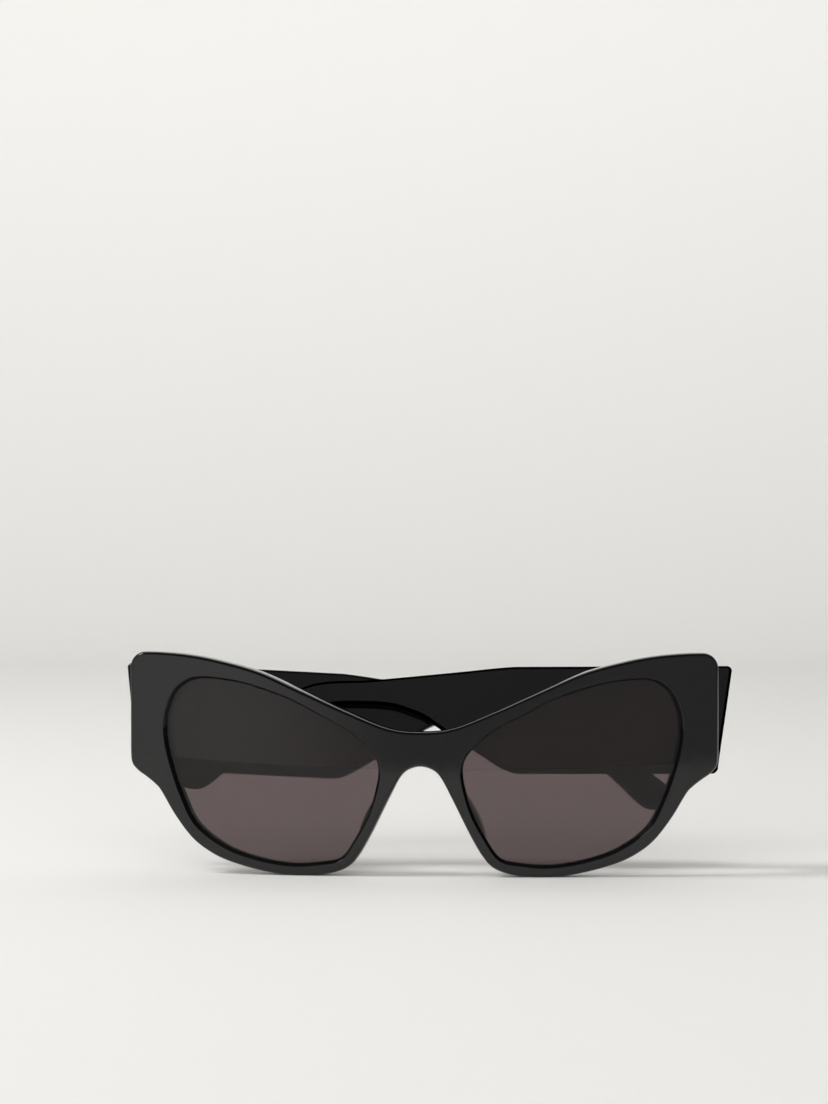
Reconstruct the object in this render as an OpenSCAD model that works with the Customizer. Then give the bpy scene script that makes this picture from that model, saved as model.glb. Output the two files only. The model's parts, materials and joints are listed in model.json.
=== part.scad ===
// Cat eye sunglasses, standing on the lower rims with both temples folded.
// +Z is up and the front faces -Y. x = 0 is the plane of symmetry. The origin
// is on the standing plane, in the middle of the folded depth.

/* [Front] */
// Width over the two sides of the front
front_w = 147; // [120:1:180]
// Height from the standing plane to the top of the wings
front_h = 55.1; // [46:0.1:68]
// Thickness of the acetate front
front_t = 5; // [4:0.25:6.5]
// Radius of the front's wrap around the face
wrap_r = 340; // [260:5:900]
// Gap for the nose, between the rims' lower nasal corners
nose_gap = 29; // [24:0.5:35]
// Height of the nose arch above the standing plane
arch_h = 27.1; // [22:0.1:33]
// Width of the rim below the lens
rim_w = 2.9; // [2:0.1:4]
// Width of the rim beside the nose
nasal_w = 3.6; // [2.8:0.1:5]
// Width of the side beyond the lens
side_w = 9.4; // [6:0.1:12]
// Height of the brow above the lens's top
brow_w = 6.5; // [5:0.1:9]

/* [Lenses] */
// Thickness of a tinted lens
lens_t = 2; // [1.4:0.1:2.4]
// Depth from the front face to the lens
lens_recess = 1.5; // [1:0.1:2]
// Depth of the lens groove in the rim
groove = 0.9; // [0.5:0.1:1.2]
// Clearance of a lens in its groove
lens_fit = 0.05; // [0.02:0.01:0.15]

/* [Nose pads] */
// Depth of a nose pad behind the front
pad_d = 6; // [4:0.5:9]
// Thickness of a nose pad
pad_t = 3; // [2:0.25:4]

/* [Temples] */
// Length of a temple from its butt to the tip's end
temple_l = 139; // [120:1:175]
// Height of the wide board at the hinge
board_h = 27; // [22:0.5:33]
// Length of the wide board
board_l = 54; // [44:1:66]
// Length from the butt to the ear bend
bend_l = 100.6; // [84:0.2:112]
// Thickness of a temple
temple_t = 4.6; // [3.8:0.1:5.6]
// Height of a temple at its neck, ahead of the ear bend
neck_h = 5.7; // [5:0.1:8]
// Fall of the tip's end below the board's top edge
tip_fall = 30.4; // [25:0.1:38]
// Width of the steel core wire in a temple
core_w = 2.4; // [1.8:0.1:3]
// Thickness of the core wire
core_t = 1.2; // [0.8:0.1:1.5]

/* [Hinges] */
// Height of the hinges' middle above the standing plane
hinge_z = 38.1; // [30:0.1:46]
// Tilt of the hinge pins, which points the open temples down
panto = 9.1; // [4:0.1:12]
// Fold of the outer temple, short of parallel to the front
outer_fold = 3.4; // [2.8:0.1:6]
// Fold of the inner temple, past parallel to the front
inner_fold = 2.5; // [2:0.1:2.8]
// Lean of the outer temple's pin towards the nose, which lowers the folded tip
outer_cant = 2.4; // [0:0.1:3]
// Lean of the inner temple's pin towards the nose
inner_cant = 0.7; // [0:0.1:3]
// Distance from the temple's seat back to the pin
pin_back = 8.4; // [7:0.1:10]
// Distance from the temple's inner face to the pin
pin_in = 1.9; // [1.6:0.1:2.6]
// Clearance between a barrel and the temple's inner face
barrel_clear = 0.2; // [0.1:0.05:0.4]
// Radius of a hinge screw's shank
screw_r = 0.75; // [0.6:0.05:0.9]
// Radial clearance of a screw in the temple leaf's barrels
screw_fit = 0.05; // [0.02:0.01:0.1]
// Height of one barrel
barrel_h = 2.2; // [1.8:0.1:2.8]
// Gap between two barrels
barrel_gap = 0.08; // [0.05:0.01:0.2]
// Thickness of a leaf's plate
plate_t = 1; // [0.8:0.1:1.4]
// Length of a leaf's plate
plate_l = 11; // [8:0.5:14]
// Gap between an open temple's butt and its seat
butt_gap = 0.05; // [0.02:0.01:0.2]

/* [Hidden] */
$fn = 64;

half_w = front_w / 2;
half_nose = nose_gap / 2;
half_board = board_h / 2;
barrels = 5;
barrel_r = pin_in - barrel_clear;
hinge_h = barrels * barrel_h + (barrels - 1) * barrel_gap;
// Radius of the wing corner
wing_r = 3.8;
// Reach of the end blocks from the side towards the nose
block_w = 14;
// Margin from the board's top and bottom to an end block's
block_over = 1;
block_under = 4;
// Thinnest part of an end block
block_t = 0.8;
stud_r = 0.9;
stud_l = 1.6;
far = 400;

// Depth of the wrapped front face behind its middle, at a distance x from it
function wrap_y(x, r = wrap_r) = wrap_r - sqrt(r * r - x * x);
seat_y = wrap_y(half_w, wrap_r - front_t) + block_t;
pin_x = half_w - temple_t - pin_in;
pin_y = seat_y + pin_back;
// Fall of a temple's top edge from the board to the ear bend
neck_top = 3.6;
// Depth of the folded glasses, from the brow to the outer temple's ear bend
folded_d = pin_y + ((bend_l - pin_back) * sin(outer_fold)
    + (pin_in + temple_t) * cos(outer_fold)) * cos(panto) + (half_board - neck_top) * sin(panto);
origin_y = folded_d / 2;

// Point on a smooth curve from b to c, with neighbours a and d
function spline(a, b, c, d, t) = (2 * b + (c - a) * t + (2 * a - 5 * b + 4 * c - d) * t * t
    + (3 * b - a - 3 * c + d) * t * t * t) / 2;
// Curve through all points but the first and last, which only steer its ends
function open_curve(p, n = 4) = [for (i = [1 : len(p) - 3]) for (s = [0 : n - 1])
    spline(p[i - 1], p[i], p[i + 1], p[i + 2], s / n)];
// Closed curve through all points
function loop_curve(p, n = 4) = let (m = len(p)) [for (i = [0 : m - 1]) for (s = [0 : n - 1])
    spline(p[(i + m - 1) % m], p[i], p[(i + 1) % m], p[(i + 2) % m], s / n)];
function arc(c, r, a0, a1, n = 6) = [for (s = [0 : n])
    let (a = a0 + (a1 - a0) * s / n) c + r * [cos(a), sin(a)]];
function flip(p) = [for (i = [len(p) - 1 : -1 : 0]) [-p[i][0], p[i][1]]];
function unit(v) = v / norm(v);
// Outline moved outwards by d, for points that run clockwise
function grow(p, d) = let (m = len(p)) [for (i = [0 : m - 1])
    let (u = unit(p[i] - p[(i + m - 1) % m]), v = unit(p[(i + 1) % m] - p[i]),
        n = unit([-u[1] - v[1], u[0] + v[0]]))
    p[i] + n * d / max(0.5, n * [-u[1], u[0]])];

// Right half of the front's outline, clockwise from the brow's middle
function wide(x, z) = [x * half_w, z * front_h];
function nose(x, z) = [x * half_nose, z * arch_h];
brow = open_curve([wide(-0.11, 0.664), wide(0, 0.648), wide(0.11, 0.664), wide(0.257, 0.741),
    wide(0.405, 0.829), wide(0.552, 0.914), wide(0.7, 0.966), wide(0.808, 0.99),
    [half_w - wing_r * 1.6, front_h], [half_w - wing_r, front_h]]);
wing = arc([half_w - wing_r, front_h - wing_r], wing_r, 86, 0);
cheek = open_curve([wide(1, 0.7), wide(1, 0.56), wide(0.995, 0.495), wide(0.974, 0.459),
    wide(0.944, 0.431), wide(0.914, 0.4), wide(0.892, 0.368), wide(0.844, 0.263),
    wide(0.789, 0.168), wide(0.735, 0.109), wide(0.663, 0.061), wide(0.552, 0.02),
    wide(0.444, 0), wide(0.336, 0.004), wide(0.262, 0.028), nose(1.117, 0.139),
    nose(1.03, 0.21)]);
arch = open_curve([nose(1.117, 0.139), nose(1.02, 0.215), nose(0.834, 0.391),
    nose(0.517, 0.73), nose(0.345, 0.9), nose(0.2, 0.972), nose(0, 1), nose(-0.2, 0.972)]);
right_half = concat(brow, wing, cheek, arch);
front_outline = concat(right_half, [nose(0, 1)],
    [for (p = flip(right_half)) if (p[0] < -0.01) p]);

// Right lens opening, clockwise from its upper nasal corner
lens_lo = 0.69 * half_nose + nasal_w * 0.17;
lens_wide = half_w - side_w;
lens_high = front_h - brow_w - rim_w;
function lens_at(x, z) = [lens_lo + x * (lens_wide - lens_lo), rim_w + z * lens_high];
function by_nose(x, k, z) = [x * half_nose + k * nasal_w, z * arch_h];
opening = loop_curve([lens_at(0.045, 0.624), lens_at(0.135, 0.714), lens_at(0.265, 0.796),
    lens_at(0.41, 0.884), lens_at(0.598, 0.96), lens_at(0.745, 0.992), lens_at(0.856, 0.995),
    lens_at(0.93, 0.955), lens_at(0.975, 0.88), lens_at(1, 0.77), lens_at(0.995, 0.655),
    lens_at(0.967, 0.518), lens_at(0.92, 0.364), lens_at(0.847, 0.204), lens_at(0.706, 0.086),
    lens_at(0.551, 0.026), lens_at(0.4, 0), lens_at(0.265, 0.01), by_nose(1.05, 1.25, 0.171),
    by_nose(0.86, 1, 0.357), by_nose(0.66, 0.95, 0.571), by_nose(0.46, 1.25, 0.786),
    by_nose(0.25, 1.9, 0.964), lens_at(0.012, 0.575)]);

// The outline as a slab along Y, from in front of the front to behind it
module slab(outline) translate([0, far / 4, 0]) rotate([90, 0, 0]) linear_extrude(far / 2)
    polygon(outline);
// The wrapped layer between two depths behind the front face
module layer(near, deep) translate([0, wrap_r, -far / 4]) difference() {
    cylinder(r = wrap_r - near, h = far, $fn = 360);
    translate([0, 0, -1]) cylinder(r = wrap_r - deep, h = far + 2, $fn = 360);
    translate([-far, 0, -1]) cube([2 * far, far, far + 2]);
}
module wrapped(outline, near, deep) intersection() {
    slab(outline);
    layer(near, deep);
}

module place() translate([0, -origin_y, 0]) children();
// Hinge frame: X outwards, Y along the temple, Z up the pin
module hinge_frame(fold, cant) place() translate([pin_x, pin_y, hinge_z])
    rotate([0, -cant, 0]) rotate([-panto, 0, 0]) rotate([0, 0, fold]) children();
module inner_temple_frame() hinge_frame(90 + inner_fold, inner_cant) children();
module outer_temple_frame() mirror([1, 0, 0]) hinge_frame(90 - outer_fold, outer_cant)
    children();

module front_frame_solid() difference() {
    wrapped(front_outline, 0, front_t);
    for (side = [0, 1]) mirror([side, 0, 0]) {
        slab(opening);
        wrapped(grow(opening, groove), lens_recess - lens_fit, lens_recess + lens_t + lens_fit);
    }
}
module lens_solid() wrapped(grow(opening, groove - lens_fit), lens_recess,
    lens_recess + lens_t);

// A pad follows the nose side of the rim, on the front's back face, and doesn't
// reach past the rim into the gap
pad_hi = 0.86;
pad_lo = 0.24;
module nose_pad_solid() {
    inner = [for (s = [0 : 8]) let (z = pad_lo + (pad_hi - pad_lo) * s / 8)
        nose(1.21 - 0.93 * z, z) + [0.2, 0]];
    outer = [for (s = [8 : -1 : 0]) let (z = pad_lo + (pad_hi - pad_lo) * s / 8)
        inner[s] + [0.6 + pad_t * sqrt(sin(180 * s / 8)) * 0.95, 0.4]];
    intersection() {
        wrapped(concat(inner, outer), front_t, front_t + pad_d);
        translate([half_nose * 0.95, 0, arch_h * (pad_hi + pad_lo) / 2])
            rotate([0, 90, 12]) cylinder(r = arch_h * 0.46, h = far, center = true);
        translate([0, wrap_y(half_nose, wrap_r - front_t), arch_h * (pad_hi + pad_lo) / 2])
            rotate([0, 90, 0]) cylinder(r = arch_h * 0.33 + pad_d * 0.1, h = far, center = true);
    }
}

// Lug of acetate that gives the open temple a flat seat on the wrapped front
block_top = hinge_z + half_board / cos(panto) - block_over;
block_low = hinge_z - half_board / cos(panto) + block_under;
module leaf_plate() translate([-plate_l + barrel_r, -plate_t, -hinge_h / 2])
    cube([plate_l, plate_t, hinge_h]);
module leaf_studs() for (z = [-hinge_h / 3.4, hinge_h / 3.4])
    translate([-plate_l / 2 - 0.6, -plate_t, z]) rotate([90, 0, 0]) cylinder(r = stud_r, h = stud_l);
module seat_frame() translate([pin_x, seat_y, hinge_z]) children();
module end_block_solid() difference() {
    intersection() {
        slab([[half_w - block_w, block_low], [half_w - block_w, block_top],
            [half_w - 0.1, block_top], [half_w - 0.1, block_low]]);
        slab(front_outline);
        cube([half_w, seat_y, front_h]);
        translate([0, wrap_r, 0]) cylinder(r = wrap_r - front_t, h = front_h, $fn = 360);
    }
    seat_frame() { leaf_plate(); leaf_studs(); }
}

// One barrel of the hinge, counted from the bottom, with its bore
module barrel(i, bore) translate([0, 0, -hinge_h / 2 + i * (barrel_h + barrel_gap)])
    difference() {
        children();
        translate([0, 0, -1]) cylinder(r = bore, h = barrel_h + 2);
    }

// Leaf in the end block: a plate, and the odd barrels on arms that reach the pin
module front_leaf_solid(cant) {
    seat_frame() { leaf_plate(); leaf_studs(); }
    difference() {
        translate([pin_x, pin_y, hinge_z]) rotate([0, -cant, 0]) rotate([-panto, 0, 0])
            for (i = [0 : 2 : barrels - 1]) barrel(i, screw_r) {
                union() {
                    cylinder(r = barrel_r, h = barrel_h);
                    translate([-barrel_r, -pin_back * 1.5, 0]) cube([2 * barrel_r,
                        pin_back * 1.5, barrel_h]);
                }
            }
        cube([half_w, seat_y, front_h]);
    }
}

// Leaf on the temple: a plate flush with the inner face, and the even barrels
plate_start = -barrel_r;
module temple_plate() translate([pin_in, plate_start, -hinge_h / 2])
    cube([plate_t, plate_l, hinge_h]);
module temple_studs() for (z = [-hinge_h / 3.4, hinge_h / 3.4])
    translate([pin_in + plate_t, plate_start + plate_l * 0.6, z])
        rotate([0, 90, 0]) cylinder(r = stud_r, h = stud_l);
module temple_leaf_solid() {
    temple_plate();
    temple_studs();
    for (i = [1 : 2 : barrels - 1]) barrel(i, screw_r + screw_fit) {
        union() {
            cylinder(r = barrel_r, h = barrel_h);
            translate([0, -barrel_r, 0]) cube([pin_in, 2 * barrel_r, barrel_h]);
        }
    }
}

// Screw with a countersunk-style flat head above the top barrel
head_h = 0.9;
slot_w = 0.4;
module screw_solid() difference() {
    translate([0, 0, -hinge_h / 2]) {
        cylinder(r = screw_r, h = hinge_h);
        translate([0, 0, hinge_h]) cylinder(r = barrel_r * 0.85, h = head_h);
    }
    translate([-barrel_r, -slot_w / 2, hinge_h / 2 + head_h / 2])
        cube([2 * barrel_r, slot_w, head_h]);
}

// Side profile of a temple: x along it from the butt, y up from the board's top
run_l = bend_l - board_l;
tip_l = temple_l - bend_l;
function run(x, y) = [board_l + x * run_l, -y * neck_top];
function under(x, y) = [board_l + x * run_l,
    -neck_top - neck_h - y * (board_h - neck_top - neck_h)];
function tip(x, y) = [bend_l + x * tip_l, -y * tip_fall];
top_edge = open_curve([run(-0.3, 0), run(-0.02, 0), run(0.3, 0.38), run(0.74, 0.88),
    tip(0.01, 0.12), tip(0.185, 0.18), tip(0.42, 0.335), tip(0.65, 0.52), tip(0.85, 0.705),
    tip(0.94, 0.79), tip(0.99, 0.88), tip(0.965, 0.965), tip(0.9, 1), tip(0.82, 0.995),
    tip(0.74, 0.93), tip(0.625, 0.8), tip(0.455, 0.63), tip(0.27, 0.47), tip(0.11, 0.368),
    run(0.99, 2.66)]);
low_edge = open_curve([tip(0.11, 0.368), run(0.97, 2.64), under(0.8, 0), under(0.65, 0.03),
    under(0.55, 0.11), under(0.47, 0.2), under(0.38, 0.365), under(0.18, 0.7),
    under(0.05, 0.92), under(-0.06, 1), under(-0.3, 1)]);
pin_u = pin_back / cos(panto) - butt_gap;
butt = half_board * tan(panto);
function from_pin(p) = [p[0] - pin_u, p[1] + half_board];
temple_outline = concat([[-pin_u - butt, half_board]], [for (p = top_edge) from_pin(p)],
    [for (p = low_edge) from_pin(p)], [[-pin_u + butt, -half_board]]);
// Middle line of the temple, which the core wire follows
wire_line = open_curve([[-20, 0], [plate_l + 1, 0], [board_l * 0.6, 1],
    from_pin(run(0.25, 3.1)), from_pin(run(0.72, 2)), from_pin(tip(0, 0.213)),
    from_pin(tip(0.2, 0.31)), from_pin(tip(0.45, 0.5)), from_pin(tip(0.68, 0.7)),
    from_pin(tip(0.82, 0.83)), from_pin(tip(0.9, 0.9))]);
wire_sides = let (m = len(wire_line)) [for (i = [0 : m - 2])
    let (v = unit(wire_line[i + 1] - wire_line[i])) [wire_line[i], [-v[1], v[0]] * core_w / 2]];
wire_outline = concat([for (s = wire_sides) s[0] + s[1]],
    [for (i = [len(wire_sides) - 1 : -1 : 0]) wire_sides[i][0] - wire_sides[i][1]]);
// Profile in the hinge frame's YZ plane, as a plate between two depths
module board(outline, x0, t) translate([x0, 0, 0]) rotate([90, 0, 90]) linear_extrude(t)
    polygon(outline);
module core_wire_solid() board(wire_outline, pin_in + (temple_t - core_t) / 2, core_t);
module temple_solid() difference() {
    board(temple_outline, pin_in, temple_t);
    temple_plate();
    temple_studs();
    core_wire_solid();
}

module front_frame() color("#101012") place() front_frame_solid();
module right_lens() color("#5a4f4c") place() lens_solid();
module left_lens() color("#5a4f4c") mirror([1, 0, 0]) place() lens_solid();
module right_nose_pad() color("#1a1a1c") place() nose_pad_solid();
module left_nose_pad() color("#1a1a1c") mirror([1, 0, 0]) place() nose_pad_solid();
module right_end_block() color("#161618") place() end_block_solid();
module left_end_block() color("#161618") mirror([1, 0, 0]) place() end_block_solid();
module right_front_leaf() color("#8f9296") place() front_leaf_solid(inner_cant);
module left_front_leaf() color("#8f9296") mirror([1, 0, 0]) place()
    front_leaf_solid(outer_cant);
module right_hinge_screw() color("#b4b7ba") hinge_frame(0, inner_cant) screw_solid();
module left_hinge_screw() color("#b4b7ba") mirror([1, 0, 0]) hinge_frame(0, outer_cant)
    screw_solid();
module right_temple() color("#101012") inner_temple_frame() temple_solid();
module left_temple() color("#101012") outer_temple_frame() temple_solid();
module right_temple_leaf() color("#8f9296") inner_temple_frame() temple_leaf_solid();
module left_temple_leaf() color("#8f9296") outer_temple_frame() temple_leaf_solid();
module right_core_wire() color("#c0c3c6") inner_temple_frame() core_wire_solid();
module left_core_wire() color("#c0c3c6") outer_temple_frame() core_wire_solid();

front_frame();
right_lens();
left_lens();
right_nose_pad();
left_nose_pad();
right_end_block();
left_end_block();
right_front_leaf();
left_front_leaf();
right_hinge_screw();
left_hinge_screw();
right_temple();
left_temple();
right_temple_leaf();
left_temple_leaf();
right_core_wire();
left_core_wire();
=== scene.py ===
# %% [markdown]
# # Cat eye sunglasses in polished acetate
# The glasses are shown upright on the lower rims of their front, with both
# temples folded behind it. Left free in this stance they would tip back, so
# think of them as propped. The engineered frame already knows every size and
# joint, so this lesson gives each piece the finish that a maker gives it: a
# front cut from sheet and bent round a former, lenses tinted through, and
# tumbled edges.

# %% Load the engineered frame
import json
import math

import bmesh
import bpy
from mathutils import Matrix, Vector


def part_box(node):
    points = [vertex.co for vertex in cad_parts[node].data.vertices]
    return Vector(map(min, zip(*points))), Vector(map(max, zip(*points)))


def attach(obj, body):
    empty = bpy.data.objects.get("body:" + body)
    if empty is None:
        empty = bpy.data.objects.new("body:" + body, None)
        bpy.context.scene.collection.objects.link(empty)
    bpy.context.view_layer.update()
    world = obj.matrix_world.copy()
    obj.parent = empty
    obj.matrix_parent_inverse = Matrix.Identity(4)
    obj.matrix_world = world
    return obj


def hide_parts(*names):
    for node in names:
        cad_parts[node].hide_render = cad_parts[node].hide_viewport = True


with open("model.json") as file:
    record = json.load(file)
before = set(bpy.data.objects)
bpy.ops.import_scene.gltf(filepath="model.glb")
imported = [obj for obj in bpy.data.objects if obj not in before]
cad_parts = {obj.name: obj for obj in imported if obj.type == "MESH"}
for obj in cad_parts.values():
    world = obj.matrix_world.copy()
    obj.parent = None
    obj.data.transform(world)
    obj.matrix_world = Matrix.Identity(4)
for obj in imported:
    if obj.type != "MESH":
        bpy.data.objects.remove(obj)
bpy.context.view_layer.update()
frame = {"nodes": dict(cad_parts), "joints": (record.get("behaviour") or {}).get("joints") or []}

MM = 0.001

# %% [markdown]
# ## Sizes of the pieces
# A frame maker's drawing gives the outline, the sheet thickness and the hinge
# places, and everything else follows from them. The front's width and place and
# the two hinges are read from the frame. The other sizes are the drawing's own,
# in millimetres, named as they are there.

# %% Sizes in millimetres
front_low, front_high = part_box("front_frame")
HALF_W = front_high.x / MM
FRONT_Y = front_low.y / MM
FRONT_H = 55.1
WRAP_R = 340.0
FRONT_T = 5.0
HALF_NOSE = 14.5
ARCH_H = 27.1
RIM_W = 2.9
NASAL_W = 3.6
SIDE_W = 9.4
BROW_W = 6.5
LENS_T = 2.0
LENS_RECESS = 1.5
GROOVE = 0.9
TEMPLE_L = 139.0
TEMPLE_T = 4.6
BOARD_H = 27.0
BOARD_L = 54.0
BEND_L = 100.6
NECK_H = 5.7
NECK_TOP = 3.6
TIP_FALL = 30.4
PIN_IN = 1.9
PIN_BACK = 8.4
PANTO = math.radians(9.1)
BUTT_GAP = 0.05
HINGES = {joint["child"]: joint for joint in frame["joints"]}
print("half the front's width:", round(HALF_W, 2), "mm; hinges:", sorted(HINGES))

# %% [markdown]
# ## Colours
# Colours are written as the hex values that a picker shows. Blender works in
# linear light, so one function turns each of them.


# %% A hex colour, turned to linear light
def linear(colour):
    """Turns an sRGB hex colour such as "#808080" into linear RGBA."""
    parts = [int(colour[i : i + 2], 16) / 255 for i in (1, 3, 5)]
    lit = [c / 12.92 if c <= 0.04045 else ((c + 0.055) / 1.055) ** 2.4 for c in parts]
    return (*lit, 1.0)


# %% [markdown]
# ## Materials as small node trees
# Every finish is a Principled shader with a few nodes in front of it. One
# function adds a node, sets its inputs and joins its links, so a finish reads
# as a list of what it is made of.


# %% One function that adds a node
def add_node(tree, kind, inputs=None, **settings):
    """Adds a node. An input is a value, or another node's output to link from."""
    node = tree.nodes.new(kind)
    for name, value in settings.items():
        setattr(node, name, value)
    for name, value in (inputs or {}).items():
        if isinstance(value, bpy.types.NodeSocket):
            tree.links.new(value, node.inputs[name])
        else:
            node.inputs[name].default_value = value
    return node


def new_material(name):
    """An empty material: its tree and its output node."""
    material = bpy.data.materials.new(name)
    material.use_nodes = True
    tree = material.node_tree
    tree.nodes.clear()
    return material, tree, add_node(tree, "ShaderNodeOutputMaterial")


# %% [markdown]
# ## Polished black acetate
# Cellulose acetate is sawn from block, tumbled for days and buffed. It is dense
# black with an IOR near 1.48. Buffing leaves a surface that waves very slightly
# over some 12 mm, and a haze of fine scratches that dulls the gloss in patches.


# %% Acetate
BUFFING_WAVE = 12
WAVE_HEIGHT = 0.006
HAZE_PATCH = 3
HAZE_SPREAD = 1.7


def acetate(name, colour, gloss):
    """Acetate whose roughness runs from gloss up to its hazy patches."""
    material, tree, output = new_material(name)
    coords = add_node(tree, "ShaderNodeTexCoord")
    wave = add_node(
        tree,
        "ShaderNodeTexNoise",
        {"Vector": coords.outputs["Object"], "Scale": 1 / (BUFFING_WAVE * MM), "Detail": 1.0},
    )
    haze = add_node(
        tree,
        "ShaderNodeTexNoise",
        {"Vector": coords.outputs["Object"], "Scale": 1 / (HAZE_PATCH * MM), "Detail": 2.0},
    )
    rough = add_node(
        tree,
        "ShaderNodeMapRange",
        {
            "Value": haze.outputs["Fac"],
            "From Min": 0.35,
            "From Max": 0.75,
            "To Min": gloss,
            "To Max": gloss * HAZE_SPREAD,
        },
    )
    bump = add_node(
        tree,
        "ShaderNodeBump",
        {"Height": wave.outputs["Fac"], "Distance": WAVE_HEIGHT * MM, "Strength": 1.0},
    )
    shader = add_node(
        tree,
        "ShaderNodeBsdfPrincipled",
        {
            "Base Color": linear(colour),
            "Roughness": rough.outputs["Result"],
            "IOR": 1.48,
            "Normal": bump.outputs["Normal"],
        },
    )
    tree.links.new(shader.outputs["BSDF"], output.inputs["Surface"])
    return material


POLISHED_ACETATE = acetate("polished black acetate", "#0b0b0c", 0.045)
TUMBLED_ACETATE = acetate("tumbled black acetate", "#0f0f10", 0.12)
print("acetates:", POLISHED_ACETATE.name, "and", TUMBLED_ACETATE.name)

# %% [markdown]
# ## Tinted lens
# A nylon or CR-39 lens is dyed grey-brown right through. About a tenth of the
# light passes, a little more of the red. Light passes both faces, so each face
# has the square root of the tint. Lamps reach the floor behind it through the
# same tint, without a refracted shadow. A coating on the back face stops its
# reflection, so the index is lower than the plastic's own 1.5, and the two
# faces together mirror as much as one bare face would.


# %% Lens
def tinted_lens(name, tint, tint_per_face):
    """A clear tint for what is seen, and a lighter one for light that passes."""
    material, tree, output = new_material(name)
    glass = add_node(
        tree,
        "ShaderNodeBsdfPrincipled",
        {
            "Base Color": linear(tint),
            "Roughness": 0.0,
            "IOR": 1.38,
            "Transmission Weight": 1.0,
        },
    )
    through = add_node(tree, "ShaderNodeBsdfTransparent", {"Color": linear(tint_per_face)})
    ray = add_node(tree, "ShaderNodeLightPath")
    mix = add_node(
        tree,
        "ShaderNodeMixShader",
        {
            0: ray.outputs["Is Shadow Ray"],
            1: glass.outputs["BSDF"],
            2: through.outputs["BSDF"],
        },
    )
    tree.links.new(mix.outputs["Shader"], output.inputs["Surface"])
    return material


TINTED_LENS = tinted_lens("tinted lens", "#66595a", "#a69b99")
print("lens:", TINTED_LENS.name)

# %% [markdown]
# ## Hinge metal
# The hinges are stamped nickel silver, plated black so that they don't show
# through the lenses, with fine tumbling marks of some 0.3 mm. The screws are
# turned steel with a blackened skin, a little shinier.


# %% Hinge metals
MARK_DEPTH = 0.01


def hinge_metal(name, colour, rough_low, rough_high, grain_mm):
    """A metal with fine marks, grain_mm apart, that vary its roughness."""
    material, tree, output = new_material(name)
    coords = add_node(tree, "ShaderNodeTexCoord")
    grain = add_node(
        tree,
        "ShaderNodeTexNoise",
        {"Vector": coords.outputs["Object"], "Scale": 1 / (grain_mm * MM), "Detail": 4.0},
    )
    rough = add_node(
        tree,
        "ShaderNodeMapRange",
        {"Value": grain.outputs["Fac"], "To Min": rough_low, "To Max": rough_high},
    )
    bump = add_node(
        tree,
        "ShaderNodeBump",
        {"Height": grain.outputs["Fac"], "Distance": MARK_DEPTH * MM, "Strength": 0.5},
    )
    shader = add_node(
        tree,
        "ShaderNodeBsdfPrincipled",
        {
            "Base Color": linear(colour),
            "Metallic": 1.0,
            "Roughness": rough.outputs["Result"],
            "Normal": bump.outputs["Normal"],
        },
    )
    tree.links.new(shader.outputs["BSDF"], output.inputs["Surface"])
    return material


BLACK_PLATE = hinge_metal("black-plated nickel silver", "#313134", 0.22, 0.4, 0.3)
TURNED_STEEL = hinge_metal("blackened turned steel", "#4a4a4d", 0.15, 0.3, 0.15)
ROLLED_WIRE = hinge_metal("rolled core wire", "#b9b9b7", 0.3, 0.45, 0.5)
print("metals:", ", ".join(metal.name for metal in (BLACK_PLATE, TURNED_STEEL, ROLLED_WIRE)))

# %% [markdown]
# ## Outlines from a few points
# A frame designer draws an outline with a spline through a few points, and so
# does this lesson. The same Catmull-Rom curve that the engineered frame uses
# passes through every point, with more steps between them. Arcs round the
# corners.


# %% Splines through points
def spline(a, b, c, d, t):
    """Point on the Catmull-Rom curve from b to c."""
    return [
        (2 * q + (r - p) * t + (2 * p - 5 * q + 4 * r - s) * t**2 + (3 * q - p - 3 * r + s) * t**3)
        / 2
        for p, q, r, s in zip(a, b, c, d)
    ]


def open_curve(points, steps=8):
    """Curve through all points but the first and last, which steer its ends."""
    return [
        spline(*points[i - 1 : i + 3], step / steps)
        for i in range(1, len(points) - 2)
        for step in range(steps)
    ]


def loop_curve(points, steps=8):
    """Closed curve through all points."""
    count = len(points)
    return [
        spline(*(points[(i + k) % count] for k in (-1, 0, 1, 2)), step / steps)
        for i in range(count)
        for step in range(steps)
    ]


# %% Arcs, and points that scale with the front
def arc(centre, radius, start, end, steps=10):
    """Arc about a centre, between two angles in degrees."""
    turns = [math.radians(start + (end - start) * i / steps) for i in range(steps + 1)]
    return [[centre[0] + radius * math.cos(a), centre[1] + radius * math.sin(a)] for a in turns]


def wide(x, z):
    """A point as shares of the front's half width and height."""
    return [x * HALF_W, z * FRONT_H]


def nose(x, z):
    """A point as shares of the nose gap's half width and height."""
    return [x * HALF_NOSE, z * ARCH_H]


# %% Outline of the front
WING_R = 3.8
brow = open_curve(
    [wide(-0.11, 0.664), wide(0, 0.648), wide(0.11, 0.664), wide(0.257, 0.741)]
    + [wide(0.405, 0.829), wide(0.552, 0.914), wide(0.7, 0.966), wide(0.808, 0.99)]
    + [[HALF_W - WING_R * 1.6, FRONT_H], [HALF_W - WING_R, FRONT_H]]
)
wing = arc([HALF_W - WING_R, FRONT_H - WING_R], WING_R, 86, 0)
cheek = open_curve(
    [wide(1, 0.7), wide(1, 0.56), wide(0.995, 0.495), wide(0.974, 0.459), wide(0.944, 0.431)]
    + [wide(0.914, 0.4), wide(0.892, 0.368), wide(0.844, 0.263), wide(0.789, 0.168)]
    + [wide(0.735, 0.109), wide(0.663, 0.061), wide(0.552, 0.02), wide(0.444, 0)]
    + [wide(0.336, 0.004), wide(0.262, 0.028), nose(1.117, 0.139), nose(1.03, 0.21)]
)
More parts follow.
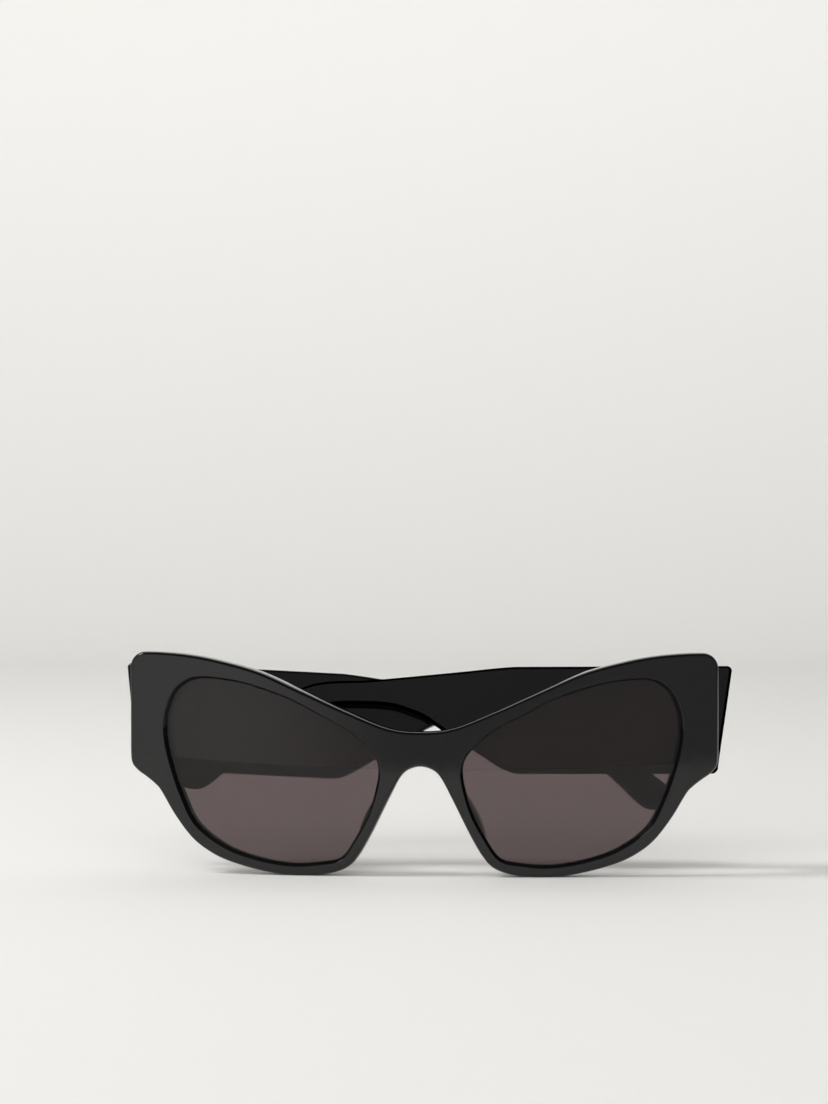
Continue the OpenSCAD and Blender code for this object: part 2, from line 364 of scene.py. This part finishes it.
arch = open_curve(
    [nose(1.117, 0.139), nose(1.02, 0.215), nose(0.834, 0.391), nose(0.517, 0.73)]
    + [nose(0.345, 0.9), nose(0.2, 0.972), nose(0, 1), nose(-0.2, 0.972)]
)
right_half = brow + wing + cheek + arch
left_half = [[-x, z] for x, z in reversed(right_half) if x > 0.01]
FRONT_OUTLINE = right_half + [nose(0, 1)] + left_half
print("points in the front's outline:", len(FRONT_OUTLINE))

# %% Outline of a lens opening
LENS_LOW = 0.69 * HALF_NOSE + NASAL_W * 0.17
LENS_HIGH = HALF_W - SIDE_W


def lens_at(x, z):
    """A point as shares of the opening's width and height."""
    return [LENS_LOW + x * (LENS_HIGH - LENS_LOW), RIM_W + z * (FRONT_H - BROW_W - RIM_W)]


def by_nose(x, rims, z):
    """A point a number of rim widths away from the nose gap."""
    return [x * HALF_NOSE + rims * NASAL_W, z * ARCH_H]


OPENING = loop_curve(
    [lens_at(0.045, 0.624), lens_at(0.135, 0.714), lens_at(0.265, 0.796), lens_at(0.41, 0.884)]
    + [lens_at(0.598, 0.96), lens_at(0.745, 0.992), lens_at(0.856, 0.995), lens_at(0.93, 0.955)]
    + [lens_at(0.975, 0.88), lens_at(1, 0.77), lens_at(0.995, 0.655), lens_at(0.967, 0.518)]
    + [lens_at(0.92, 0.364), lens_at(0.847, 0.204), lens_at(0.706, 0.086), lens_at(0.551, 0.026)]
    + [lens_at(0.4, 0), lens_at(0.265, 0.01), by_nose(1.05, 1.25, 0.171)]
    + [by_nose(0.86, 1, 0.357), by_nose(0.66, 0.95, 0.571), by_nose(0.46, 1.25, 0.786)]
    + [by_nose(0.25, 1.9, 0.964), lens_at(0.012, 0.575)]
)
OTHER_OPENING = [[-x, z] for x, z in reversed(OPENING)]
print("points in an opening:", len(OPENING))

# %% [markdown]
# ## Plates with turned edges
# The front and the temples are all plates: an outline, a thickness and edges
# that tumbling has rounded. A ring of edges follows the outline, and each
# extrude carries it one step round the edge and down the wall. The two flat
# faces are filled last. Their normals are kept straight, so that the flat
# mirrors evenly and only the rounded edge bends the reflection.


# %% Rings of edges
def start_ring(bm, points):
    """A closed ring of edges through the points, in the plate's front plane."""
    verts = [bm.verts.new((x * MM, 0.0, z * MM)) for x, z in points]
    return [bm.edges.new((a, b)) for a, b in zip(verts, verts[1:] + verts[:1])]


def ring_outwards(edges):
    """For each vertex of a ring, the way out of the ring, in the plate's plane."""
    sides = {}
    for edge in edges:
        a, b = edge.verts
        for vert, other in ((a, b), (b, a)):
            sides.setdefault(vert, []).append(other)
    order, last = [edges[0].verts[0]], None
    while True:
        here = order[-1]
        step = [v for v in sides[here] if v is not last][0]
        if step is order[0] and len(order) > 2:
            break
        last = here
        order.append(step)
    area = sum(a.co.x * b.co.z - b.co.x * a.co.z for a, b in zip(order, order[1:] + order[:1]))
    sign = 1 if area < 0 else -1
    away = {}
    for before, here, after in zip(order[-1:] + order[:-1], order, order[1:] + order[:1]):
        one = Vector((here.co.x - before.co.x, here.co.z - before.co.z)).normalized()
        two = Vector((after.co.x - here.co.x, after.co.z - here.co.z)).normalized()
        normal = Vector((-one.y - two.y, one.x + two.x)).normalized()
        miter = max(0.5, normal.dot(Vector((-one.y, one.x))))
        away[here] = Vector((normal.x, 0, normal.y)) * sign / miter
    return away


def step_ring(bm, edges, out, depth):
    """Extrudes a ring, moving it outwards by out and down by depth, in mm."""
    made = bmesh.ops.extrude_edge_only(bm, edges=edges)
    new = [item for item in made["geom"] if isinstance(item, bmesh.types.BMEdge)]
    away = ring_outwards(new)
    for vert, direction in away.items():
        vert.co += direction * out * MM + Vector((0, depth * MM, 0))
    return new


# %% Steps round an edge or down a lip
def edge_steps(out, down, steps=6):
    """Steps (out, down) of a quarter turn from a flat face to its wall."""
    turn = [math.pi / 2 * i / steps for i in range(steps + 1)]
    return [
        (out * (math.sin(b) - math.sin(a)), down * (math.cos(a) - math.cos(b)))
        for a, b in zip(turn, turn[1:])
    ]


def back_steps(out, down, steps=6):
    """The same turn, from the wall to the other flat face."""
    return [(-a, b) for a, b in reversed(edge_steps(out, down, steps))]


def lip_steps(width, depth, soft):
    """A steep slanted lip whose two edges are softened a little."""
    slope = math.atan2(depth, width)
    turn = [0, slope / 2, slope, (slope + math.pi / 2) / 2, math.pi / 2]
    eased = [
        (soft * (math.sin(b) - math.sin(a)), soft * (math.cos(a) - math.cos(b)))
        for a, b in zip(turn, turn[1:])
    ]
    return eased[:2] + [(width - soft, depth - soft)] + eased[2:]


# %% A plate with holes
def inset(points, distance):
    """The outline moved inwards, for points that run clockwise."""
    count = len(points)
    moved = []
    for i, here in enumerate(points):
        one = (Vector(here) - Vector(points[i - 1])).normalized()
        two = (Vector(points[(i + 1) % count]) - Vector(here)).normalized()
        normal = Vector((-one.y - two.y, one.x + two.x)).normalized()
        miter = max(0.5, normal.dot(Vector((-one.y, one.x))))
        moved.append(list(Vector(here) - normal * distance / miter))
    return moved


def plate(outline, thickness, front_edge, back_edge, holes=()):
    """A plate from y = 0 to its thickness, with edges that round (out, down).

    A hole is its outline, the steps of its wall, and how far its lip opens.
    """
    bm = bmesh.new()
    front_edges = start_ring(bm, inset(outline, front_edge[0]))
    ring = front_edges
    wall = thickness - front_edge[1] - back_edge[1]
    for out, down in edge_steps(*front_edge) + [(0, wall)] + back_steps(*back_edge):
        ring = step_ring(bm, ring, out, down)
    back_edges = ring
    for hole, steps, lip in holes:
        ring = start_ring(bm, inset(hole, -lip))
        front_edges = front_edges + ring
        for out, down in steps:
            ring = step_ring(bm, ring, out, down)
        back_edges = back_edges + ring
    bmesh.ops.triangle_fill(bm, use_beauty=True, edges=front_edges)
    bmesh.ops.triangle_fill(bm, use_beauty=True, edges=back_edges)
    bmesh.ops.recalc_face_normals(bm, faces=bm.faces)
    return bm


# %% [markdown]
# ## From a bmesh to a finished piece
# A piece's mesh is placed by a function that turns each point and its normal,
# such as the bend round the wearer's face. The piece's object stays at the
# origin. Vertices on the two flat faces keep the flat's own normal.


# %% Finish a plate as an object
def finish_plate(bm, name, thickness, place, material):
    """Places a plate with place(point, normal) and makes it an object."""
    bm.normal_update()
    flat = thickness * MM
    normals = []
    for vert in bm.verts:
        if abs(vert.co.y) < 1e-7:
            normal = Vector((0, -1, 0))
        elif abs(vert.co.y - flat) < 1e-7:
            normal = Vector((0, 1, 0))
        else:
            normal = vert.normal.copy()
        vert.co, normal = place(vert.co.copy(), normal)
        normals.append(normal)
    for face in bm.faces:
        face.smooth = True
    mesh = bpy.data.meshes.new(name)
    bm.to_mesh(mesh)
    bm.free()
    mesh.normals_split_custom_set_from_vertices(normals)
    piece = bpy.data.objects.new(name, mesh)
    bpy.context.scene.collection.objects.link(piece)
    piece.data.materials.append(material)
    print(f"{name}: {len(mesh.polygons)} faces")
    return piece


# %% [markdown]
# ## The front
# A front is milled flat from 5 mm sheet and then warmed and bent round a
# former, so its walls stand square to the bent face. The outline is first
# unrolled: a point's distance along the sheet is the arc that it ends up on.
# The flat plate is cut across every 1.5 mm, so that its large faces can bend.
# Each opening has a steep lip down to the lens, whose mirrored darkness outlines
# it, and a groove that grips the lens.


# %% Bend round the wearer's face
SLICE = 1.5


def slice_across(bm):
    """Cuts a plate across x at an even pitch."""
    count = round(2 * HALF_W / SLICE)
    for i in range(1, count):
        bmesh.ops.bisect_plane(
            bm,
            geom=bm.verts[:] + bm.edges[:] + bm.faces[:],
            dist=1e-7,
            plane_co=((2 * HALF_W * i / count - HALF_W) * MM, 0, 0),
            plane_no=(1, 0, 0),
        )


def unrolled(outline):
    """The flat outline that bends into this one."""
    return [[WRAP_R * math.asin(x / WRAP_R), z] for x, z in outline]


def wrap(point, normal):
    """Bends the flat sheet: x along it, y down from the front face, z up."""
    turn = point.x / (WRAP_R * MM)
    radius = WRAP_R * MM - point.y
    place = Vector(
        (
            radius * math.sin(turn),
            (FRONT_Y + WRAP_R) * MM - radius * math.cos(turn),
            point.z,
        )
    )
    return place, Matrix.Rotation(turn, 3, "Z") @ normal


# %% Front frame
FRONT_EDGE = (0.8, 1.6)
LIP_W = 0.7
LIP_DEPTH = 1.4
LIP_SOFT = 0.12
BACK_R = 0.7
groove_wall = [(-out, down) for out, down in lip_steps(LIP_W, LIP_DEPTH, LIP_SOFT)]
groove_wall += [(0, LENS_RECESS - LIP_DEPTH), (GROOVE, 0), (0, LENS_T), (-GROOVE, 0)]
groove_wall += [(0, FRONT_T - LENS_RECESS - LENS_T - BACK_R)]
groove_wall += [(-out, down) for out, down in back_steps(BACK_R, BACK_R)]
front = plate(
    unrolled(FRONT_OUTLINE),
    FRONT_T,
    FRONT_EDGE,
    (BACK_R, BACK_R),
    [(unrolled(shape), groove_wall, LIP_W) for shape in (OPENING, OTHER_OPENING)],
)
slice_across(front)
front_piece = finish_plate(front, "acetate_front", FRONT_T, wrap, POLISHED_ACETATE)
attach(front_piece, "front")
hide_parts("front_frame")

# %% [markdown]
# ## The lenses
# Each lens is cut a little larger than its opening, snapped into the groove and
# wrapped like the front. It is the same kind of plate, with edges only just
# broken, so it is made in the same way.


# %% Lenses
LENS_FIT = 0.05
LENS_EDGE = (0.15, 0.15)


def lens_place(point, normal):
    """Bends a lens like the front, from its depth in the groove."""
    return wrap(point + Vector((0, LENS_RECESS * MM, 0)), normal)


for side, shape in (("right", OPENING), ("left", OTHER_OPENING)):
    pane = plate(inset(unrolled(shape), LENS_FIT - GROOVE), LENS_T, LENS_EDGE, LENS_EDGE)
    slice_across(pane)
    lens = finish_plate(pane, f"{side}_tinted_lens", LENS_T, lens_place, TINTED_LENS)
    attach(lens, "front")
    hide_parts(f"{side}_lens")

# %% [markdown]
# ## The temples
# A temple is a 4.6 mm board, 27 mm high at the hinge. It narrows in a swept
# curve to a neck, bends down behind the ear and ends in a rounded tip. Its butt
# is cut on a slant, because the open temple points down a little while the
# seat stays upright. A band saw cuts that side outline from sheet, so a plate
# with rounded edges makes it here too, and no bend is needed.

# %% Ways to place a point on a temple, backwards from the pin and up
RUN_L = BEND_L - BOARD_L
TIP_L = TEMPLE_L - BEND_L
PIN_U = PIN_BACK / math.cos(PANTO) - BUTT_GAP
BUTT = BOARD_H / 2 * math.tan(PANTO)
UNDER = BOARD_H - NECK_TOP - NECK_H


def from_pin(u, v):
    """A point given from the board's upper butt corner, moved to the pin."""
    return [u - PIN_U, v + BOARD_H / 2]


def run(x, y):
    """A point on the upper side of the stretch from the board to the bend."""
    return from_pin(BOARD_L + x * RUN_L, -y * NECK_TOP)


def under(x, y):
    """A point on the lower side of the same stretch."""
    return from_pin(BOARD_L + x * RUN_L, -NECK_TOP - NECK_H - y * UNDER)


def tip(x, y):
    """A point behind the ear bend."""
    return from_pin(BEND_L + x * TIP_L, -y * TIP_FALL)


# %% Side outline of a temple
top_edge = open_curve(
    [run(-0.3, 0), run(-0.02, 0), run(0.3, 0.38), run(0.74, 0.88), tip(0.01, 0.12)]
    + [tip(0.185, 0.18), tip(0.42, 0.335), tip(0.65, 0.52), tip(0.85, 0.705), tip(0.94, 0.79)]
    + [tip(0.99, 0.88), tip(0.965, 0.965), tip(0.9, 1), tip(0.82, 0.995), tip(0.74, 0.93)]
    + [tip(0.625, 0.8), tip(0.455, 0.63), tip(0.27, 0.47), tip(0.11, 0.368), run(0.99, 2.66)]
)
low_edge = open_curve(
    [tip(0.11, 0.368), run(0.97, 2.64), under(0.8, 0), under(0.65, 0.03), under(0.55, 0.11)]
    + [under(0.47, 0.2), under(0.38, 0.365), under(0.18, 0.7), under(0.05, 0.92)]
    + [under(-0.06, 1), under(-0.3, 1)]
)
BUTT_R = 1.3
slant = math.degrees(PANTO)
top_butt = arc([-PIN_U - BUTT + BUTT_R * 1.2, BOARD_H / 2 - BUTT_R], BUTT_R, 180 - slant, 90, 5)
low_butt = arc([-PIN_U + BUTT + BUTT_R * 0.85, -BOARD_H / 2 + BUTT_R], BUTT_R, 270, 180 - slant, 5)
TEMPLE_OUTLINE = top_butt + top_edge + low_edge + low_butt
print("points in a temple's outline:", len(TEMPLE_OUTLINE))


# %% Where a folded temple lies at its hinge
FOLDS = {"right_temple": 92.5, "left_temple": 86.6}


def hinge_matrix(body):
    """Turns a plate to its folded place: x along it, y out of its inner face."""
    joint = HINGES[body]
    mirrored = joint["pos_m"][0] < 0
    pin = Vector(joint["axis"]).normalized()
    if pin.z < 0:
        pin = -pin
    outward = Vector((0, 1, 0)).cross(pin).normalized() * (-1 if mirrored else 1)
    along = pin.cross(outward) * (-1 if mirrored else 1)
    turn = Matrix.Rotation(math.radians(FOLDS[body]) * (-1 if mirrored else 1), 3, pin)
    columns = [turn @ along, turn @ outward, pin]
    rotation = Matrix([[column[row] for column in columns] for row in range(3)])
    return rotation, Vector(joint["pos_m"])


# %% Temples
TEMPLE_EDGE = (0.8, 0.9)

for body in ("right_temple", "left_temple"):
    rotation, origin = hinge_matrix(body)

    def on_hinge(point, normal):
        """Places a point of the plate, whose inner face stands off the pin."""
        inner = Vector((0, PIN_IN * MM, 0))
        return origin + rotation @ (point + inner), rotation @ normal

    board = plate(TEMPLE_OUTLINE, TEMPLE_T, TEMPLE_EDGE, TEMPLE_EDGE)
    if rotation.determinant() < 0:
        bmesh.ops.reverse_faces(board, faces=board.faces)
    name = body.replace("temple", "acetate_temple")
    temple = finish_plate(board, name, TEMPLE_T, on_hinge, POLISHED_ACETATE)
    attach(temple, body)
    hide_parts(body)

# %% [markdown]
# ## Nose pads and end blocks
# These small acetate parts are sawn to shape and then tumbled in drums of wood
# chips until no edge is sharp. A bevel would need every edge picked out. A copy
# of the sawn solid is merged and rebuilt on a fine grid instead, and then
# smoothed, which wears every edge as tumbling does.

# %% Tumble the small parts
GRID = 0.3
TUMBLES = 5


def tumbled(node, name, material):
    """A copy of one of the front's nodes, with its edges worn round."""
    mesh = frame["nodes"][node].data.copy()
    bm = bmesh.new()
    bm.from_mesh(mesh)
    bmesh.ops.remove_doubles(bm, verts=bm.verts, dist=0.001 * MM)
    bm.to_mesh(mesh)
    bm.free()
    piece = bpy.data.objects.new(name, mesh)
    bpy.context.scene.collection.objects.link(piece)
    remesh = piece.modifiers.new("fine grid", "REMESH")
    remesh.mode = "VOXEL"
    remesh.voxel_size = GRID * MM
    smooth = piece.modifiers.new("tumbling", "SMOOTH")
    smooth.iterations = TUMBLES
    worn = piece.evaluated_get(bpy.context.evaluated_depsgraph_get())
    piece.data = bpy.data.meshes.new_from_object(worn)
    piece.modifiers.clear()
    piece.data.materials.clear()
    piece.data.materials.append(material)
    for face in piece.data.polygons:
        face.use_smooth = True
    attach(piece, "front")
    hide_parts(node)
    print(f"{name}: {len(piece.data.polygons)} faces")


for side in ("right", "left"):
    tumbled(f"{side}_nose_pad", f"{side}_acetate_pad", TUMBLED_ACETATE)
    tumbled(f"{side}_end_block", f"{side}_acetate_block", TUMBLED_ACETATE)

# %% [markdown]
# ## Hinges and core wires
# The hinge leaves are stamped, the screws are turned and the core wires are
# rolled. The frame already shapes them well, and its solids stay as they are.
# Each solid only gets its metal.

# %% Metals on the frame's own solids
for side in ("right", "left"):
    for node, material in (
        (f"{side}_front_leaf", BLACK_PLATE),
        (f"{side}_temple_leaf", BLACK_PLATE),
        (f"{side}_hinge_screw", TURNED_STEEL),
        (f"{side}_core_wire", ROLLED_WIRE),
    ):
        solid = frame["nodes"][node]
        solid.data.materials.clear()
        solid.data.materials.append(material)
        print(f"{node}: {material.name}")

# %% [markdown]
# ## Floor
# The glasses are set on one sheet of matt paper that sweeps up behind them, so no
# horizon shows. Its side line is a row of points, and one extrude makes the
# sheet. Matt paper scatters light evenly and mirrors very little.


# %% Paper
WHITE_PAPER = "#f4f3f0"


def paper(name, colour):
    """Matt, uncoated paper."""
    material, tree, output = new_material(name)
    shader = add_node(
        tree,
        "ShaderNodeBsdfPrincipled",
        {"Base Color": linear(colour), "Roughness": 0.75, "Specular IOR Level": 0.2},
    )
    tree.links.new(shader.outputs["BSDF"], output.inputs["Surface"])
    return material


# %% Paper sweep, in metres
SWEEP_FRONT = -0.36
SWEEP_BACK = 1.2
SWEEP_R = 0.6
SWEEP_STEPS = 48
SWEEP_W = 6
WALL_H = 2.5
SHORT_ROW = 0.03
SHORT_ROW_Y = SWEEP_BACK * 0.97

sweep = bmesh.new()
profile = [Vector((0, y, 0)) for y in (SWEEP_FRONT, SHORT_ROW_Y, SWEEP_BACK)]
for i in range(1, SWEEP_STEPS + 1):
    turn = math.pi / 2 * i / SWEEP_STEPS
    profile.append(
        Vector((0, SWEEP_BACK + SWEEP_R * math.sin(turn), SWEEP_R * (1 - math.cos(turn))))
    )
profile += [profile[-1] + Vector((0, 0, rise)) for rise in (SHORT_ROW, WALL_H)]
verts = [sweep.verts.new(point - Vector((SWEEP_W / 2, 0, 0))) for point in profile]
line = [sweep.edges.new(pair) for pair in zip(verts, verts[1:])]
made = bmesh.ops.extrude_edge_only(sweep, edges=line)
side_verts = [item for item in made["geom"] if isinstance(item, bmesh.types.BMVert)]
bmesh.ops.translate(sweep, verts=side_verts, vec=(SWEEP_W, 0, 0))
bmesh.ops.recalc_face_normals(sweep, faces=sweep.faces)
sweep.faces.ensure_lookup_table()
if sweep.faces[0].normal.z < 0:
    bmesh.ops.reverse_faces(sweep, faces=sweep.faces)
for face in sweep.faces:
    face.smooth = True
sweep_mesh = bpy.data.meshes.new("paper_sweep")
sweep.to_mesh(sweep_mesh)
sweep.free()
floor = bpy.data.objects.new("paper_sweep", sweep_mesh)
bpy.context.scene.collection.objects.link(floor)
floor.data.materials.append(paper("matt white paper", WHITE_PAPER))
print("paper sweep:", len(sweep_mesh.polygons), "faces")

# %% [markdown]
# ## Light
# The black acetate shows little but what it mirrors, so the surroundings matter
# as much as the lamps. A bright bay stands to the left, the middle is grey and
# both far sides and the ceiling are dark, which draws the dark line round each
# lens. Past the paper's edge the room itself is seen as plain and pale. Two wide
# bounce boards light the paper evenly and aren't mirrored. One small soft lamp
# to the left makes the glints.

# %% Bays of the room, from left to right
BAYS = (
    (0.0, 0.05),
    (0.12, 0.08),
    (0.2, 0.95),
    (0.3, 1.0),
    (0.46, 0.42),
    (0.7, 0.4),
    (0.8, 0.3),
    (0.9, 0.05),
)

bpy.context.scene.view_settings.view_transform = "Standard"
world = bpy.data.worlds.new("white studio")
world.use_nodes = True
bpy.context.scene.world = world
room = world.node_tree
room.nodes.clear()
direction = add_node(room, "ShaderNodeTexCoord").outputs["Generated"]
axes = add_node(room, "ShaderNodeSeparateXYZ", {"Vector": direction}).outputs
sideways = add_node(
    room, "ShaderNodeMapRange", {"Value": axes["X"], "From Min": -1.0, "From Max": 1.0}
)
bays = add_node(room, "ShaderNodeValToRGB", {"Fac": sideways.outputs["Result"]})
bands = bays.color_ramp
bands.interpolation = "EASE"
for place, level in BAYS:
    stop = bands.elements.new(place)
    stop.color = (level, level, level, 1.0)
bands.elements.remove(bands.elements[0])
bands.elements.remove(bands.elements[-1])
print("bays:", len(bands.elements))

# %% Darker ceiling, and a plain room past the paper
CEILING_AT = 0.65
CEILING = 0.05
overhead = add_node(
    room,
    "ShaderNodeMapRange",
    {"Value": axes["Z"], "From Max": CEILING_AT, "To Min": 1.0, "To Max": CEILING},
)
strength = add_node(
    room,
    "ShaderNodeMath",
    {0: bays.outputs["Color"], 1: overhead.outputs["Result"]},
    operation="MULTIPLY",
)
backdrop = add_node(
    room,
    "ShaderNodeBackground",
    {"Color": linear("#fbfaf8"), "Strength": strength.outputs["Value"]},
)
plain = add_node(room, "ShaderNodeBackground", {"Color": linear(WHITE_PAPER), "Strength": 0.92})
seen = add_node(
    room,
    "ShaderNodeMixShader",
    {
        0: add_node(room, "ShaderNodeLightPath").outputs["Is Camera Ray"],
        1: backdrop.outputs["Background"],
        2: plain.outputs["Background"],
    },
)
add_node(room, "ShaderNodeOutputWorld", {"Surface": seen.outputs["Shader"]})
print("world nodes:", len(room.nodes))


# %% Lamps
def soft_lamp(name, place, aim, width, height, watts, mirrored):
    """A rectangular lamp. Polished faces mirror it only if mirrored is true."""
    lamp = bpy.data.lights.new(name, "AREA")
    lamp.shape = "RECTANGLE"
    lamp.size, lamp.size_y = width, height
    lamp.energy = watts
    holder = bpy.data.objects.new(name, lamp)
    holder.location = place
    holder.rotation_euler = (Vector(aim) - Vector(place)).to_track_quat("-Z", "Y").to_euler()
    holder.visible_glossy = mirrored
    bpy.context.scene.collection.objects.link(holder)
    print(f"{name}: {width} by {height} m, {watts} W")


soft_lamp("left_softbox", (-0.95, -0.15, 1.1), (0, 0, 0.02), 0.38, 0.38, 9, True)
soft_lamp("ceiling_bounce", (-0.4, 0.3, 2.3), (0, 0.3, 0), 4, 4, 24, False)
soft_lamp("front_bounce", (-0.5, -3.0, 0.9), (0, 1.5, 0.4), 4, 3, 118, False)

# %% [markdown]
# ## Camera
# A product camera with a long lens stands 0.8 m away, a little to the right and
# just above the brow. It is held almost level, so the glasses sit low in its
# picture and their upright lines stay upright.

# %% Camera
DISTANCE = 0.8
AIM_Y = 17.6
AIM_Z = 28

camera_data = bpy.data.cameras.new("studio camera")
camera_data.sensor_width = 36
camera_data.lens = 103.5
camera_data.clip_start, camera_data.clip_end = 0.01, 20
camera = bpy.data.objects.new("studio camera", camera_data)
bpy.context.scene.collection.objects.link(camera)
bpy.context.scene.camera = camera


def towards(azimuth, elevation):
    """Direction from the glasses to a viewer, with both angles in degrees."""
    turn, rise = math.radians(azimuth), math.radians(elevation)
    return Vector(
        (math.sin(turn) * math.cos(rise), -math.cos(turn) * math.cos(rise), math.sin(rise))
    )


middle = Vector((0, (FRONT_Y + AIM_Y) * MM, AIM_Z * MM))
camera.location = middle + towards(4.04, 4.14) * DISTANCE
camera.rotation_euler = towards(4.24, 0.42).to_track_quat("Z", "Y").to_euler()
print("camera at mm:", [round(v / MM) for v in camera.location])
